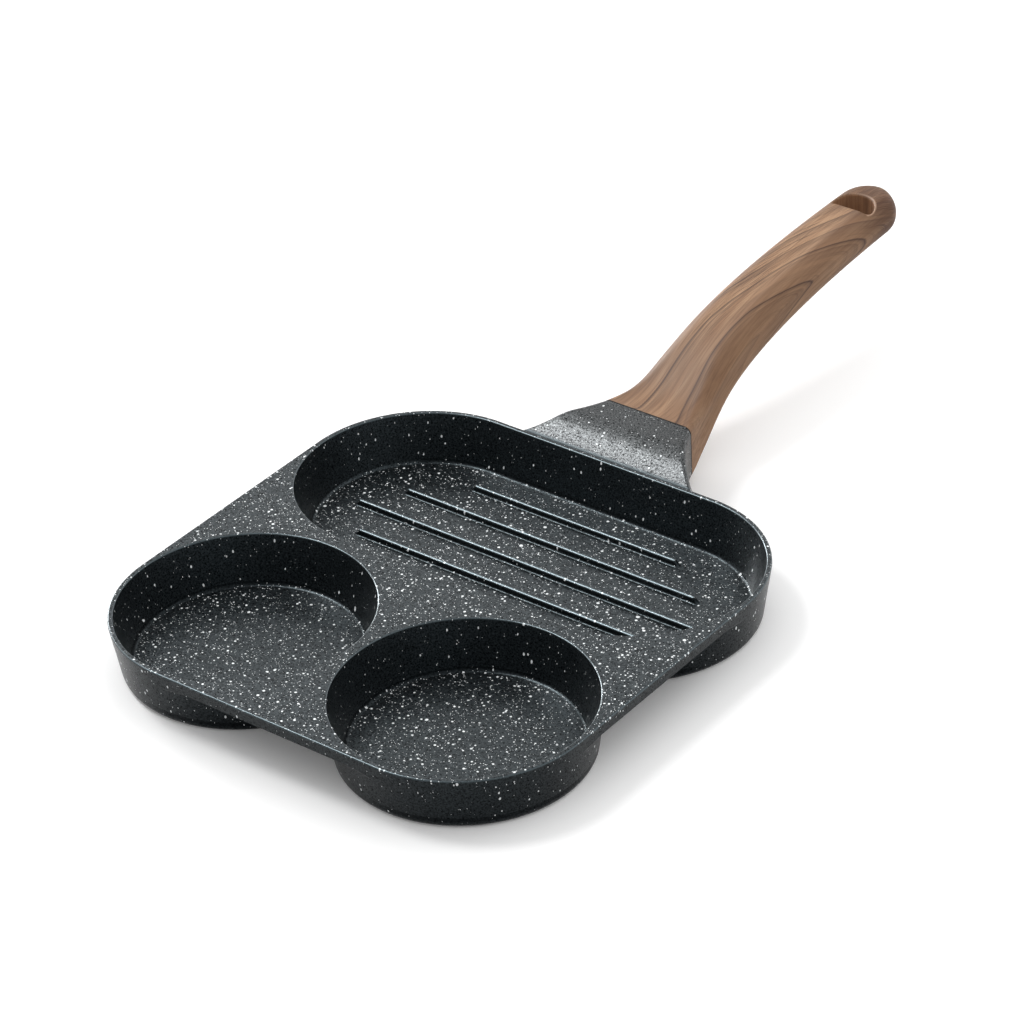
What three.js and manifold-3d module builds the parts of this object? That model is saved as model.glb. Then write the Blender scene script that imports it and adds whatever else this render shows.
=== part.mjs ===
// Divided breakfast pan: a cast, coated pan body with two egg wells, one large ribbed well and a flared
// neck, and a swept moulded handle that slides over the casting's tang and is held by one screw.
// Millimetres, +Z up, +Y from the pan towards the handle, symmetric about X = 0, resting on Z = 0.

import * as THREE from 'three';
import { mergeVertices } from 'three/addons/utils/BufferGeometryUtils.js';
import Module from 'manifold-3d';

// Pan body
const PAN_WIDTH = 200;
const PAN_LENGTH = 202;
const PAN_HEIGHT = 22.4;
const CORNER_RADIUS = 50;
const DECK_THICKNESS = 5;
const OUTER_DRAFT = THREE.MathUtils.degToRad(8.7);
const EDGE_ROUND = 0.6;

// Wells, each concentric with the pan's corners
const RIM_WIDTH = 2;
const INNER_DRAFT = THREE.MathUtils.degToRad(15.8);
const FLOOR_THICKNESS = 3;
const FLOOR_FILLET = 1.5;
const BASE_EDGE_ROUND = 3.1;
const DECK_FILLET = 2.5; // under the deck, round the top of each well
const WALL_STEP = 0.05; // the well walls start this far inside the deck's drafted edge

// Grill ribs on the floor of the large well, the first one nearest the handle
const RIB_LENGTHS = [97, 137, 159, 133];
const RIB_PITCH = 16.2;
const RIB_OFFSET = 29.2; // first rib, from the well's middle line
const RIB_WIDTH = 2;
const RIB_HEIGHT = 2.4;
const RIB_RUN_OUT = 1.5; // slope at each end
const RIB_FILLET = 0.8; // round each rib's foot
const RIB_SINK = 0.03; // the fillet ends this far below the floor

// Neck, from the back rim to the joint with the handle
const NECK_LENGTH = 27;
const NECK_ROOT_WIDTH = 83;
const NECK_FLARE = new THREE.Vector2(33, 5.5); // half width and distance from the rim, near the rim
const NECK_WAIST = new THREE.Vector2(25, 16.5); // the same, near the joint
const NECK_ROOT_DROP = 0.5; // below the rim's top
const NECK_RAMP_STRAIGHT = 9; // evenly steep from the rim
const NECK_RAMP_LENGTH = 15.4; // level at its end
const NECK_ROOT_BOTTOM = 8; // above the base
const NECK_ROOT_OVERLAP = 4; // length inside the pan's back wall
const NECK_CORNER = 3;
const NECK_WALL = 3.2;
const NECK_END_WALL = 5;

// Section where the neck meets the handle
const JOINT_WIDTH = 41.2;
const JOINT_HEIGHT = 22.8;
const JOINT_MIDDLE = 17.2; // above the base
const JOINT_GAP = 0.3;

// Handle, measured along Y from the joint
const HANDLE_LENGTH = 165;
const HANDLE_RISE = 28.7;
const SWEEP_LEAD = 37; // pulls the sweep level behind the joint
const SWEEP_CREST = new THREE.Vector2(10, 28); // pulls the sweep level again at this height
const TAIL_WIDTH = 25.4;
const TAIL_HEIGHT = 16;
const HANDLE_FLARE = new THREE.Vector2(18, 15.7); // pulls the half width in behind the joint
const HANDLE_WAIST = new THREE.Vector2(7.6, 12.5); // pulls the half width in ahead of the grip
const GRIP_CORNER = 7.6;
const GRIP_START = 42; // where the section has its full grip corners
const NOSE_LENGTH = 13;

// Hang hole, a half disc with its straight side towards the pan
const HOLE_RADIUS = 9;
const HOLE_CORNER = 3.2; // at the ends of the straight side
const HOLE_FROM_END = 25.6; // straight side to the tail
const HOLE_LIP = 1.2;

// Tang of the casting and its socket in the handle
const TANG_WIDTH = 18;
const TANG_THICKNESS = 7;
const TANG_LENGTH = 20;
const TANG_CORNER = 1.5;
const TANG_RISE = 3.3; // above the joint's middle
const SOCKET_CLEARANCE = 0.3;

// Screw and washers, put in from below the handle
const SCREW_FROM_JOINT = 9;
const SCREW_RADIUS = 2.5;
const SCREW_CLEARANCE = 0.3;
const SCREW_BITE = 6; // length of thread in the tang
const HEAD_RADIUS = 4.4;
const HEAD_HEIGHT = 2.6;
const RECESS_RADIUS = 1.6;
const RECESS_DEPTH = 1.5;
const SEAT_WALL = 2.6; // handle material between the screw's seat and the socket
const FLAT_WASHER_RADIUS = 4.8;
const FLAT_WASHER_THICKNESS = 0.8;
const SPRING_WASHER_RADIUS = 4.2;
const SPRING_WASHER_THICKNESS = 1.1;
const SPRING_WASHER_SLIT = 1;
const SEAT_GAP = 0.15;
const COUNTERBORE_CLEARANCE = 0.4;

// How far a cutting solid runs past the face that it opens
const CUT_MARGIN = 1;

// Facets
const WELL_STEPS = 14; // in a quarter turn
const RIB_STEPS = 4;
const SECTION_STEPS = 7; // in each corner of a neck or handle section
const FILLET_STEPS = 4;
const FOOT_STEPS = 3;
const EDGE_STEPS = 2;
const NECK_STATIONS = 14;
const SWEEP_STATIONS = 16;
const GRIP_STATIONS = 10;
const NOSE_STATIONS = 8;
const TURN_STEPS = 24;

// Positions worked out from the sizes
const deckBottom = PAN_HEIGHT - DECK_THICKNESS;
const cornerX = PAN_WIDTH / 2 - CORNER_RADIUS;
const cornerY = PAN_LENGTH / 2 - CORNER_RADIUS;
const jointY = PAN_LENGTH / 2 + NECK_LENGTH;
const jointTop = JOINT_MIDDLE + JOINT_HEIGHT / 2;
const tangZ = JOINT_MIDDLE + TANG_RISE;
const socketFloorZ = tangZ - TANG_THICKNESS / 2 - SOCKET_CLEARANCE;
const seatZ = socketFloorZ - SEAT_WALL;
const screwY = jointY + SCREW_FROM_JOINT;

const wasm = await Module();
wasm.setup();

// Turns a closed geometry into a solid that can be joined and cut.
function solid(geometry) {
	geometry.deleteAttribute('normal');
	geometry.deleteAttribute('uv');
	const merged = mergeVertices(geometry, 1e-4);
	const index = merged.index.array;
	const triangles = [];
	for (let i = 0; i < index.length; i += 3) {
		const [a, b, c] = [index[i], index[i + 1], index[i + 2]];
		if (a !== b && b !== c && c !== a) triangles.push(a, b, c);
	}
	return new wasm.Manifold(new wasm.Mesh({
		numProp: 3,
		vertProperties: new Float32Array(merged.attributes.position.array),
		triVerts: new Uint32Array(triangles),
	}));
}

function geometryOf(manifold) {
	const mesh = manifold.getMesh();
	const geometry = new THREE.BufferGeometry();
	geometry.setAttribute('position', new THREE.BufferAttribute(mesh.vertProperties, mesh.numProp));
	geometry.setIndex(new THREE.BufferAttribute(mesh.triVerts, 1));
	geometry.computeVertexNormals();
	return geometry;
}

// Skins a row of convex rings with equal point counts, anticlockwise about the way they follow each other.
function loft(rings) {
	const count = rings[0].length;
	const points = rings.flat();
	const index = [];
	for (let row = 0; row + 1 < rings.length; row++) {
		for (let i = 0; i < count; i++) {
			const a = row * count + i;
			const b = row * count + (i + 1) % count;
			index.push(a, b, b + count, a, b + count, a + count);
		}
	}
	const last = (rings.length - 1) * count;
	for (let i = 1; i + 1 < count; i++) {
		index.push(0, i + 1, i);
		index.push(last, last + i, last + i + 1);
	}
	const geometry = new THREE.BufferGeometry().setFromPoints(points);
	geometry.setIndex(index);
	return solid(geometry);
}

function roundedRectangle(halfWidth, halfHeight, radius, steps) {
	const corners = [[1, 1], [-1, 1], [-1, -1], [1, -1]];
	return corners.flatMap(([sideX, sideY], quarter) => {
		const points = [];
		for (let i = 0; i <= steps; i++) {
			const angle = (quarter + i / steps) * Math.PI / 2;
			points.push(new THREE.Vector2(
				sideX * (halfWidth - radius) + radius * Math.cos(angle),
				sideY * (halfHeight - radius) + radius * Math.sin(angle),
			));
		}
		return points;
	});
}

// A solid whose level outlines keep their straight sides while the corner radius follows a profile of
// (radius, height) points. Both half lengths at zero give a solid of revolution.
function roundedSolid(profile, straightX, straightY, steps) {
	return loft(profile.map(({ x: radius, y: height }) =>
		roundedRectangle(straightX + radius, straightY + radius, radius, steps)
			.map(({ x, y }) => new THREE.Vector3(x, y, height))));
}

// An upright section across Y.
function crossSection(halfWidth, bottom, top, radius, y) {
	const halfHeight = (top - bottom) / 2;
	const corner = Math.min(radius, halfWidth, halfHeight);
	return roundedRectangle(halfWidth, halfHeight, corner, SECTION_STEPS)
		.map((point) => new THREE.Vector3(-point.x, y, (bottom + top) / 2 + point.y));
}

function arc(centreX, centreY, radius, from, to, steps) {
	const points = [];
	for (let i = 0; i <= steps; i++) {
		const angle = THREE.MathUtils.lerp(from, to, i / steps);
		points.push(new THREE.Vector2(centreX + radius * Math.cos(angle), centreY + radius * Math.sin(angle)));
	}
	return points;
}

// Height of a curve that always advances in its first coordinate.
function valueAt(curve, along) {
	let [low, high] = [0, 1];
	for (let i = 0; i < 40; i++) {
		const middle = (low + high) / 2;
		if (curve.getPoint(middle).x < along) low = middle;
		else high = middle;
	}
	return curve.getPoint(low).y;
}

// Radii of the drafted outer and inner walls at the pan's corners.
function outerRadius(z) {
	return CORNER_RADIUS - (PAN_HEIGHT - z) * Math.tan(OUTER_DRAFT);
}

function innerRadius(z) {
	return CORNER_RADIUS - RIM_WIDTH - (PAN_HEIGHT - z) * Math.tan(INNER_DRAFT);
}

function deck() {
	const roundZ = PAN_HEIGHT - EDGE_ROUND;
	const roundX = outerRadius(roundZ) - EDGE_ROUND / Math.cos(OUTER_DRAFT);
	const profile = [
		new THREE.Vector2(outerRadius(deckBottom), deckBottom),
		...arc(roundX, roundZ, EDGE_ROUND, -OUTER_DRAFT, Math.PI / 2, EDGE_STEPS),
	];
	return roundedSolid(profile, cornerX, cornerY, WELL_STEPS);
}

// The drafted space that the wells stand in, up to the deck's rounded edge.
function envelope() {
	const heights = [-CUT_MARGIN, PAN_HEIGHT - EDGE_ROUND];
	const profile = heights.map((z) => new THREE.Vector2(outerRadius(z), z));
	return roundedSolid(profile, cornerX, cornerY, WELL_STEPS);
}

function wellBody(straightX) {
	const wallRadius = (z) => outerRadius(z) - WALL_STEP;
	const baseX = wallRadius(BASE_EDGE_ROUND) - BASE_EDGE_ROUND / Math.cos(OUTER_DRAFT);
	const filletZ = deckBottom - DECK_FILLET;
	const filletX = wallRadius(filletZ) + DECK_FILLET / Math.cos(OUTER_DRAFT);
	const profile = [
		...arc(baseX, BASE_EDGE_ROUND, BASE_EDGE_ROUND, -Math.PI / 2, -OUTER_DRAFT, EDGE_STEPS),
		...arc(filletX, filletZ, DECK_FILLET, Math.PI - OUTER_DRAFT, Math.PI / 2, EDGE_STEPS),
		new THREE.Vector2(filletX, deckBottom + DECK_THICKNESS / 2),
	];
	return roundedSolid(profile, straightX, 0, WELL_STEPS);
}

function wellHollow(straightX) {
	const filletZ = FLOOR_THICKNESS + FLOOR_FILLET;
	const filletX = innerRadius(filletZ) - FLOOR_FILLET / Math.cos(INNER_DRAFT);
	const lipZ = PAN_HEIGHT - EDGE_ROUND;
	const lipX = innerRadius(lipZ) + EDGE_ROUND / Math.cos(INNER_DRAFT);
	const profile = [
		...arc(filletX, filletZ, FLOOR_FILLET, -Math.PI / 2, -INNER_DRAFT, FILLET_STEPS),
		...arc(lipX, lipZ, EDGE_ROUND, Math.PI - INNER_DRAFT, Math.PI / 2, EDGE_STEPS),
		new THREE.Vector2(lipX, PAN_HEIGHT + CUT_MARGIN),
	];
	return roundedSolid(profile, straightX, 0, WELL_STEPS);
}

// A round-topped rib with a filleted foot that slopes down to the floor at both ends.
function grillRib(length) {
	const radius = RIB_WIDTH / 2;
	const crest = FLOOR_THICKNESS + RIB_HEIGHT;
	const crown = Math.PI / 2 - Math.PI / 16;
	const foot = radius + RIB_FILLET;
	const footZ = FLOOR_THICKNESS + RIB_FILLET - RIB_SINK;
	const profile = [
		new THREE.Vector2(foot, FLOOR_THICKNESS / 2),
		...arc(foot, footZ, RIB_FILLET, -Math.PI / 2, -Math.PI, FOOT_STEPS),
		...arc(0, crest - radius, radius, 0, crown, FILLET_STEPS),
	];
	return loft(profile.map(({ x: halfWidth, y: height }) => {
		const runOut = RIB_RUN_OUT * THREE.MathUtils.smoothstep(height, FLOOR_THICKNESS, crest);
		const reach = length / 2 - runOut + Math.max(halfWidth - radius, 0);
		return roundedRectangle(reach, halfWidth, halfWidth, RIB_STEPS)
			.map(({ x, y }) => new THREE.Vector3(x, y, height));
	}));
}

// Half width of the neck and the height of its top, at a distance behind the back rim.
const neckPlan = new THREE.CubicBezierCurve(
	new THREE.Vector2(0, NECK_ROOT_WIDTH / 2),
	new THREE.Vector2(NECK_FLARE.y, NECK_FLARE.x),
	new THREE.Vector2(NECK_WAIST.y, NECK_WAIST.x),
	new THREE.Vector2(NECK_LENGTH, JOINT_WIDTH / 2),
);

function neckTop(along) {
	const easing = NECK_RAMP_LENGTH - NECK_RAMP_STRAIGHT;
	const eased = THREE.MathUtils.clamp((along - NECK_RAMP_STRAIGHT) / easing, 0, 1);
	const run = Math.min(along, NECK_RAMP_STRAIGHT) + easing * (eased - eased ** 2 / 2);
	const wholeRun = NECK_RAMP_STRAIGHT + easing / 2;
	return THREE.MathUtils.lerp(PAN_HEIGHT - NECK_ROOT_DROP, jointTop, run / wholeRun);
}

function neckBottom(along) {
	return THREE.MathUtils.lerp(NECK_ROOT_BOTTOM, jointTop - JOINT_HEIGHT, along / NECK_LENGTH);
}

// Sections of the neck from inside the back wall to a given distance, drawn in by a wall thickness.
function neckSections(reach, wall, opening) {
	const rings = [];
	for (let i = 0; i <= NECK_STATIONS; i++) {
		const along = THREE.MathUtils.lerp(-NECK_ROOT_OVERLAP, reach, i / NECK_STATIONS);
		const clamped = Math.max(along, 0);
		rings.push(crossSection(
			valueAt(neckPlan, clamped) - wall,
			neckBottom(clamped) - opening,
			neckTop(clamped) - wall,
			NECK_CORNER,
			PAN_LENGTH / 2 + along,
		));
	}
	return loft(rings);
}

// The neck is a shell, open underneath, with a solid end wall at the handle.
function neck() {
	const outer = neckSections(NECK_LENGTH, 0, 0);
	const hollow = neckSections(NECK_LENGTH - NECK_END_WALL, NECK_WALL, JOINT_HEIGHT);
	return outer.subtract(hollow);
}

function tang(clearance) {
	const halfWidth = TANG_WIDTH / 2 + clearance;
	const halfHeight = TANG_THICKNESS / 2 + clearance;
	const start = jointY - NECK_END_WALL / 2;
	const end = jointY + TANG_LENGTH + clearance;
	return loft([start, end].map((y) =>
		crossSection(halfWidth, tangZ - halfHeight, tangZ + halfHeight, TANG_CORNER, y)));
}

// An upright round bar on the screw's axis.
function screwBar(radius, bottom, top) {
	const bar = new THREE.CylinderGeometry(radius, radius, top - bottom, TURN_STEPS);
	bar.rotateX(Math.PI / 2);
	bar.translate(0, screwY, (bottom + top) / 2);
	return solid(bar);
}

function panCasting() {
	const wells = [
		{ straightX: cornerX, x: 0, y: cornerY },
		{ straightX: 0, x: -cornerX, y: -cornerY },
		{ straightX: 0, x: cornerX, y: -cornerY },
	];
	let body = deck().add(neck()).add(tang(0));
	for (const { straightX, x, y } of wells) {
		body = body.add(wellBody(straightX).translate(x, y, 0).intersect(envelope()));
	}
	for (const { straightX, x, y } of wells) body = body.subtract(wellHollow(straightX).translate(x, y, 0));
	RIB_LENGTHS.forEach((length, i) => {
		body = body.add(grillRib(length).translate(0, cornerY + RIB_OFFSET - i * RIB_PITCH, 0));
	});
	return body.subtract(screwBar(SCREW_RADIUS + SCREW_CLEARANCE, seatZ, tangZ + TANG_THICKNESS));
}

// Curves of the handle over the distance from the joint: its middle height and its half width.
const sweep = new THREE.CubicBezierCurve(
	new THREE.Vector2(0, JOINT_MIDDLE),
	new THREE.Vector2(SWEEP_LEAD, JOINT_MIDDLE),
	new THREE.Vector2(SWEEP_CREST.x, JOINT_MIDDLE + SWEEP_CREST.y),
	new THREE.Vector2(HANDLE_LENGTH, JOINT_MIDDLE + HANDLE_RISE),
);
const plan = new THREE.CubicBezierCurve(
	new THREE.Vector2(0, JOINT_WIDTH / 2),
	HANDLE_FLARE,
	HANDLE_WAIST,
	new THREE.Vector2(HANDLE_LENGTH, TAIL_WIDTH / 2),
);

function handleHalfHeight(along) {
	return THREE.MathUtils.lerp(JOINT_HEIGHT, TAIL_HEIGHT, along / HANDLE_LENGTH) / 2;
}

function handleSection(along, widthShare = 1, heightShare = 1) {
	const middle = valueAt(sweep, along);
	const halfHeight = handleHalfHeight(along) * heightShare;
	const halfWidth = valueAt(plan, along) * widthShare;
	const corner = THREE.MathUtils.lerp(NECK_CORNER, GRIP_CORNER, THREE.MathUtils.smoothstep(along, 0, GRIP_START));
	return crossSection(halfWidth, middle - halfHeight, middle + halfHeight, corner, jointY + along);
}

// Sections from the joint through the sweep and the grip to a rounded nose.
function handleBody() {
	const rings = [];
	for (let i = 0; i < SWEEP_STATIONS; i++) {
		rings.push(handleSection(THREE.MathUtils.lerp(JOINT_GAP, 2 * GRIP_START, i / SWEEP_STATIONS)));
	}
	const noseStart = HANDLE_LENGTH - NOSE_LENGTH;
	for (let i = 0; i < GRIP_STATIONS; i++) {
		rings.push(handleSection(THREE.MathUtils.lerp(2 * GRIP_START, noseStart, i / GRIP_STATIONS)));
	}
	for (let i = 0; i <= NOSE_STATIONS; i++) {
		const share = Math.sin(i / NOSE_STATIONS * Math.PI / 2);
		const widthShare = Math.sqrt(1 - share ** 2);
		const heightShare = Math.sqrt(Math.sqrt(1 - share ** 4));
		rings.push(handleSection(noseStart + NOSE_LENGTH * share, widthShare, heightShare));
	}
	return loft(rings);
}

// The half-disc hole with rounded ends, flared at both mouths on its curved side.
function hangHole() {
	const along = HANDLE_LENGTH - HOLE_FROM_END + HOLE_CORNER;
	const middle = valueAt(sweep, along);
	const reach = handleHalfHeight(along);
	const centreY = jointY + along;
	const outline = (radius, z) => {
		const inset = radius - HOLE_CORNER;
		return [
			...arc(0, centreY, radius, 0, Math.PI, TURN_STEPS),
			...arc(-inset, centreY, HOLE_CORNER, Math.PI, Math.PI * 1.5, SECTION_STEPS).slice(1),
			...arc(inset, centreY, HOLE_CORNER, Math.PI * 1.5, Math.PI * 2, SECTION_STEPS).slice(0, -1),
		].map(({ x, y }) => new THREE.Vector3(x, y, z));
	};
	const mouth = HOLE_RADIUS + HOLE_LIP + CUT_MARGIN;
	return loft([
		outline(mouth, middle - reach - CUT_MARGIN),
		outline(HOLE_RADIUS, middle - reach + HOLE_LIP),
		outline(HOLE_RADIUS, middle + reach - HOLE_LIP),
		outline(mouth, middle + reach + CUT_MARGIN),
	]);
}

function handle() {
	const below = JOINT_MIDDLE - JOINT_HEIGHT;
	return handleBody()
		.subtract(tang(SOCKET_CLEARANCE))
		.subtract(screwBar(SCREW_RADIUS + SCREW_CLEARANCE, below, tangZ + TANG_THICKNESS / 2))
		.subtract(screwBar(FLAT_WASHER_RADIUS + COUNTERBORE_CLEARANCE, below, seatZ))
		.subtract(hangHole());
}

// The screw and its washers stack downwards from the seat in the handle.
const flatWasherTop = seatZ - SEAT_GAP;
const springWasherTop = flatWasherTop - FLAT_WASHER_THICKNESS - SEAT_GAP;
const headTop = springWasherTop - SPRING_WASHER_THICKNESS - SEAT_GAP;

function handleScrew() {
	const threadEnd = tangZ - TANG_THICKNESS / 2 + SCREW_BITE;
	const headMiddle = headTop - HEAD_HEIGHT / 2;
	const crossArm = new THREE.BoxGeometry(2 * RECESS_RADIUS, RECESS_RADIUS / 2, 2 * RECESS_DEPTH);
	const recess = [0, Math.PI / 2].map((turn) =>
		solid(crossArm.clone().rotateZ(turn).translate(0, screwY, headTop - HEAD_HEIGHT)));
	return screwBar(HEAD_RADIUS, headTop - HEAD_HEIGHT, headTop)
		.add(screwBar(SCREW_RADIUS, headMiddle, threadEnd))
		.subtract(recess[0])
		.subtract(recess[1]);
}

function washer(radius, thickness, top) {
	const bore = SCREW_RADIUS + SCREW_CLEARANCE;
	return screwBar(radius, top - thickness, top).subtract(screwBar(bore, top - 2 * thickness, top + thickness));
}

function springWasher() {
	const slit = new THREE.BoxGeometry(SPRING_WASHER_SLIT, SPRING_WASHER_RADIUS * 2, SPRING_WASHER_THICKNESS * 3);
	slit.rotateY(Math.PI / 8);
	slit.translate(0, screwY + SPRING_WASHER_RADIUS, springWasherTop - SPRING_WASHER_THICKNESS / 2);
	return washer(SPRING_WASHER_RADIUS, SPRING_WASHER_THICKNESS, springWasherTop).subtract(solid(slit));
}

function addPart(group, name, manifold, look) {
	const mesh = new THREE.Mesh(geometryOf(manifold), new THREE.MeshStandardMaterial(look));
	mesh.name = name;
	group.add(mesh);
}

const coating = { color: 0x34383b, roughness: 0.5, metalness: 0.1 };
const woodLook = { color: 0x8f6e55, roughness: 0.55, metalness: 0 };
const steel = { color: 0xb9bcc0, roughness: 0.35, metalness: 1 };

const pan = new THREE.Group();
addPart(pan, 'pan_casting', panCasting(), coating);
addPart(pan, 'handle', handle(), woodLook);
addPart(pan, 'handle_screw', handleScrew(), steel);
addPart(pan, 'flat_washer', washer(FLAT_WASHER_RADIUS, FLAT_WASHER_THICKNESS, flatWasherTop), steel);
addPart(pan, 'spring_washer', springWasher(), steel);

// The origin is below the middle of the pan's overall length.
const overall = new THREE.Box3().setFromObject(pan);
pan.position.y = -(overall.min.y + overall.max.y) / 2;

export default pan;
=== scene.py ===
"""Looks of the divided breakfast pan: a fine mesh of the coated casting and of the wood-look handle, with
procedural finishes, a white floor, soft studio light and the photograph's camera."""

import math

import bmesh
import bpy
import numpy as np
from mathutils import Matrix, Vector


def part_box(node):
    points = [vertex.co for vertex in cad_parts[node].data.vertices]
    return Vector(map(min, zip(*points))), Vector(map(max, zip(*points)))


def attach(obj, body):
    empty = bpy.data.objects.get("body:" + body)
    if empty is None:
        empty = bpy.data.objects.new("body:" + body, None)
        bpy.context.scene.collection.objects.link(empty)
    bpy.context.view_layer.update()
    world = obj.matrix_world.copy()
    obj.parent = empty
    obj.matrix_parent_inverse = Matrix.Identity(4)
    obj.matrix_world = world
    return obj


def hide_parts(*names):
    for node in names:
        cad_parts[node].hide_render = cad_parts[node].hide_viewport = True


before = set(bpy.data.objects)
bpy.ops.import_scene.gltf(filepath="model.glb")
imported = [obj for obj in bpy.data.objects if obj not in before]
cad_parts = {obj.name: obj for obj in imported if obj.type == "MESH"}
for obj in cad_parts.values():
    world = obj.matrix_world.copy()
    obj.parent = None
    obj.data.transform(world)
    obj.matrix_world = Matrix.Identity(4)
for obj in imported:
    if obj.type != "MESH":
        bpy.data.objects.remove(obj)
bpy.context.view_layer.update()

MM = 0.001

# Pan body, in millimetres as in the CAD part
PAN_WIDTH = 200
PAN_LENGTH = 202
PAN_HEIGHT = 22.4
CORNER_RADIUS = 50
DECK_THICKNESS = 5
OUTER_DRAFT = math.radians(8.7)
EDGE_ROUND = 0.6

# Wells
RIM_WIDTH = 2
INNER_DRAFT = math.radians(15.8)
FLOOR_THICKNESS = 3
FLOOR_FILLET = 1.5
BASE_EDGE_ROUND = 3.1
DECK_FILLET = 2.5
WALL_STEP = 0.05

# Grill ribs
RIB_LENGTHS = (97, 137, 159, 133)
RIB_PITCH = 16.2
RIB_OFFSET = 29.2
RIB_WIDTH = 2
RIB_HEIGHT = 2.4
RIB_RUN_OUT = 1.5
RIB_FILLET = 0.8
RIB_SINK = 0.03

# Neck
NECK_LENGTH = 27
NECK_ROOT_WIDTH = 83
NECK_FLARE = (5.5, 33)
NECK_WAIST = (16.5, 25)
NECK_ROOT_DROP = 0.5
NECK_RAMP_STRAIGHT = 9
NECK_RAMP_LENGTH = 15.4
NECK_ROOT_BOTTOM = 8
NECK_ROOT_OVERLAP = 4
NECK_CORNER = 3
NECK_WALL = 3.2
NECK_END_WALL = 5

# Joint and handle
JOINT_WIDTH = 41.2
JOINT_HEIGHT = 22.8
JOINT_MIDDLE = 17.2
JOINT_GAP = 0.3
HANDLE_LENGTH = 165
HANDLE_RISE = 28.7
SWEEP_LEAD = 37
SWEEP_CREST = (10, 28)
TAIL_WIDTH = 25.4
TAIL_HEIGHT = 16
HANDLE_FLARE = (18, 15.7)
HANDLE_WAIST = (7.6, 12.5)
GRIP_CORNER = 7.6
GRIP_START = 42
NOSE_LENGTH = 13
HOLE_RADIUS = 9
HOLE_CORNER = 3.2
HOLE_FROM_END = 25.6
HOLE_LIP = 1.2

# Tang, its socket and the screw
TANG_WIDTH = 18
TANG_THICKNESS = 7
TANG_LENGTH = 20
TANG_CORNER = 1.5
TANG_RISE = 3.3
SOCKET_CLEARANCE = 0.3
SCREW_FROM_JOINT = 9
SCREW_BORE = 2.8
COUNTERBORE = 5.2
SEAT_WALL = 2.6

CUT_MARGIN = 1

# Facets of the fine meshes
WELL_STEPS = 36
RIB_STEPS = 8
SECTION_STEPS = 12
FILLET_STEPS = 8
EDGE_STEPS = 5
NECK_STATIONS = 36
HANDLE_STATIONS = 110
NOSE_STATIONS = 20
HOLE_STEPS = 48
LIP_STEPS = 5
TURN_STEPS = 48
SHARP_ANGLE = math.radians(38)
NORMAL_WEIGHT = 80
CURVE_SAMPLES = 801
WELD_DISTANCE = 1e-7

# Positions worked out from the sizes, with the pan's centre as origin
deck_bottom = PAN_HEIGHT - DECK_THICKNESS
corner_x = PAN_WIDTH / 2 - CORNER_RADIUS
corner_y = PAN_LENGTH / 2 - CORNER_RADIUS
joint_y = PAN_LENGTH / 2 + NECK_LENGTH
joint_top = JOINT_MIDDLE + JOINT_HEIGHT / 2
tang_z = JOINT_MIDDLE + TANG_RISE
seat_z = tang_z - TANG_THICKNESS / 2 - SOCKET_CLEARANCE - SEAT_WALL
screw_y = joint_y + SCREW_FROM_JOINT
pan_centre = Vector((0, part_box("handle")[1].y - (joint_y + HANDLE_LENGTH) * MM, 0))


def smoothstep(value, low, high):
    share = min(max((value - low) / (high - low), 0), 1)
    return share * share * (3 - 2 * share)


def lerp(start, end, share):
    return start + (end - start) * share


def arc(centre_x, centre_y, radius, start, end, steps):
    angles = np.linspace(start, end, steps + 1)
    return [(centre_x + radius * math.cos(a), centre_y + radius * math.sin(a)) for a in angles]


def bezier(points):
    """The height of a cubic curve that always advances, at a distance along it."""
    share = np.linspace(0, 1, CURVE_SAMPLES)[:, None]
    a, b, c, d = (np.array(p, float) for p in points)
    rest = 1 - share
    line = rest**3 * a + 3 * rest**2 * share * b + 3 * rest * share**2 * c + share**3 * d
    return lambda along: float(np.interp(along, line[:, 0], line[:, 1]))


def rounded_rectangle(half_width, half_height, radius, steps):
    points = []
    for quarter, (side_x, side_y) in enumerate(((1, 1), (-1, 1), (-1, -1), (1, -1))):
        start = quarter * math.pi / 2
        points += arc(side_x * (half_width - radius), side_y * (half_height - radius), radius, start,
                      start + math.pi / 2, steps)
    return points


def loft(name, rings):
    """A closed solid through a row of rings with equal point counts."""
    mesh = bmesh.new()
    rows = [[mesh.verts.new(Vector(p) * MM + pan_centre) for p in ring] for ring in rings]
    count = len(rows[0])
    for low, high in zip(rows, rows[1:]):
        for i in range(count):
            j = (i + 1) % count
            mesh.faces.new((low[i], low[j], high[j], high[i]))
    mesh.faces.new(rows[0][::-1])
    mesh.faces.new(rows[-1])
    bmesh.ops.remove_doubles(mesh, verts=mesh.verts, dist=WELD_DISTANCE)
    bmesh.ops.dissolve_degenerate(mesh, edges=mesh.edges, dist=WELD_DISTANCE)
    bmesh.ops.recalc_face_normals(mesh, faces=mesh.faces)
    data = bpy.data.meshes.new(name)
    mesh.to_mesh(data)
    mesh.free()
    piece = bpy.data.objects.new(name, data)
    bpy.context.scene.collection.objects.link(piece)
    return piece


def rounded_solid(name, profile, straight_x, straight_y, place=(0, 0), steps=WELL_STEPS):
    """A solid whose level outlines keep their straight sides while the corner radius follows a profile."""
    rings = []
    for radius, height in profile:
        outline = rounded_rectangle(straight_x + radius, straight_y + radius, radius, steps)
        rings.append([(x + place[0], y + place[1], height) for x, y in outline])
    return loft(name, rings)


def cross_section(half_width, bottom, top, radius, y):
    half_height = (top - bottom) / 2
    corner = min(radius, half_width, half_height)
    outline = rounded_rectangle(half_width, half_height, corner, SECTION_STEPS)
    return [(-x, y, (bottom + top) / 2 + z) for x, z in outline]


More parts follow.
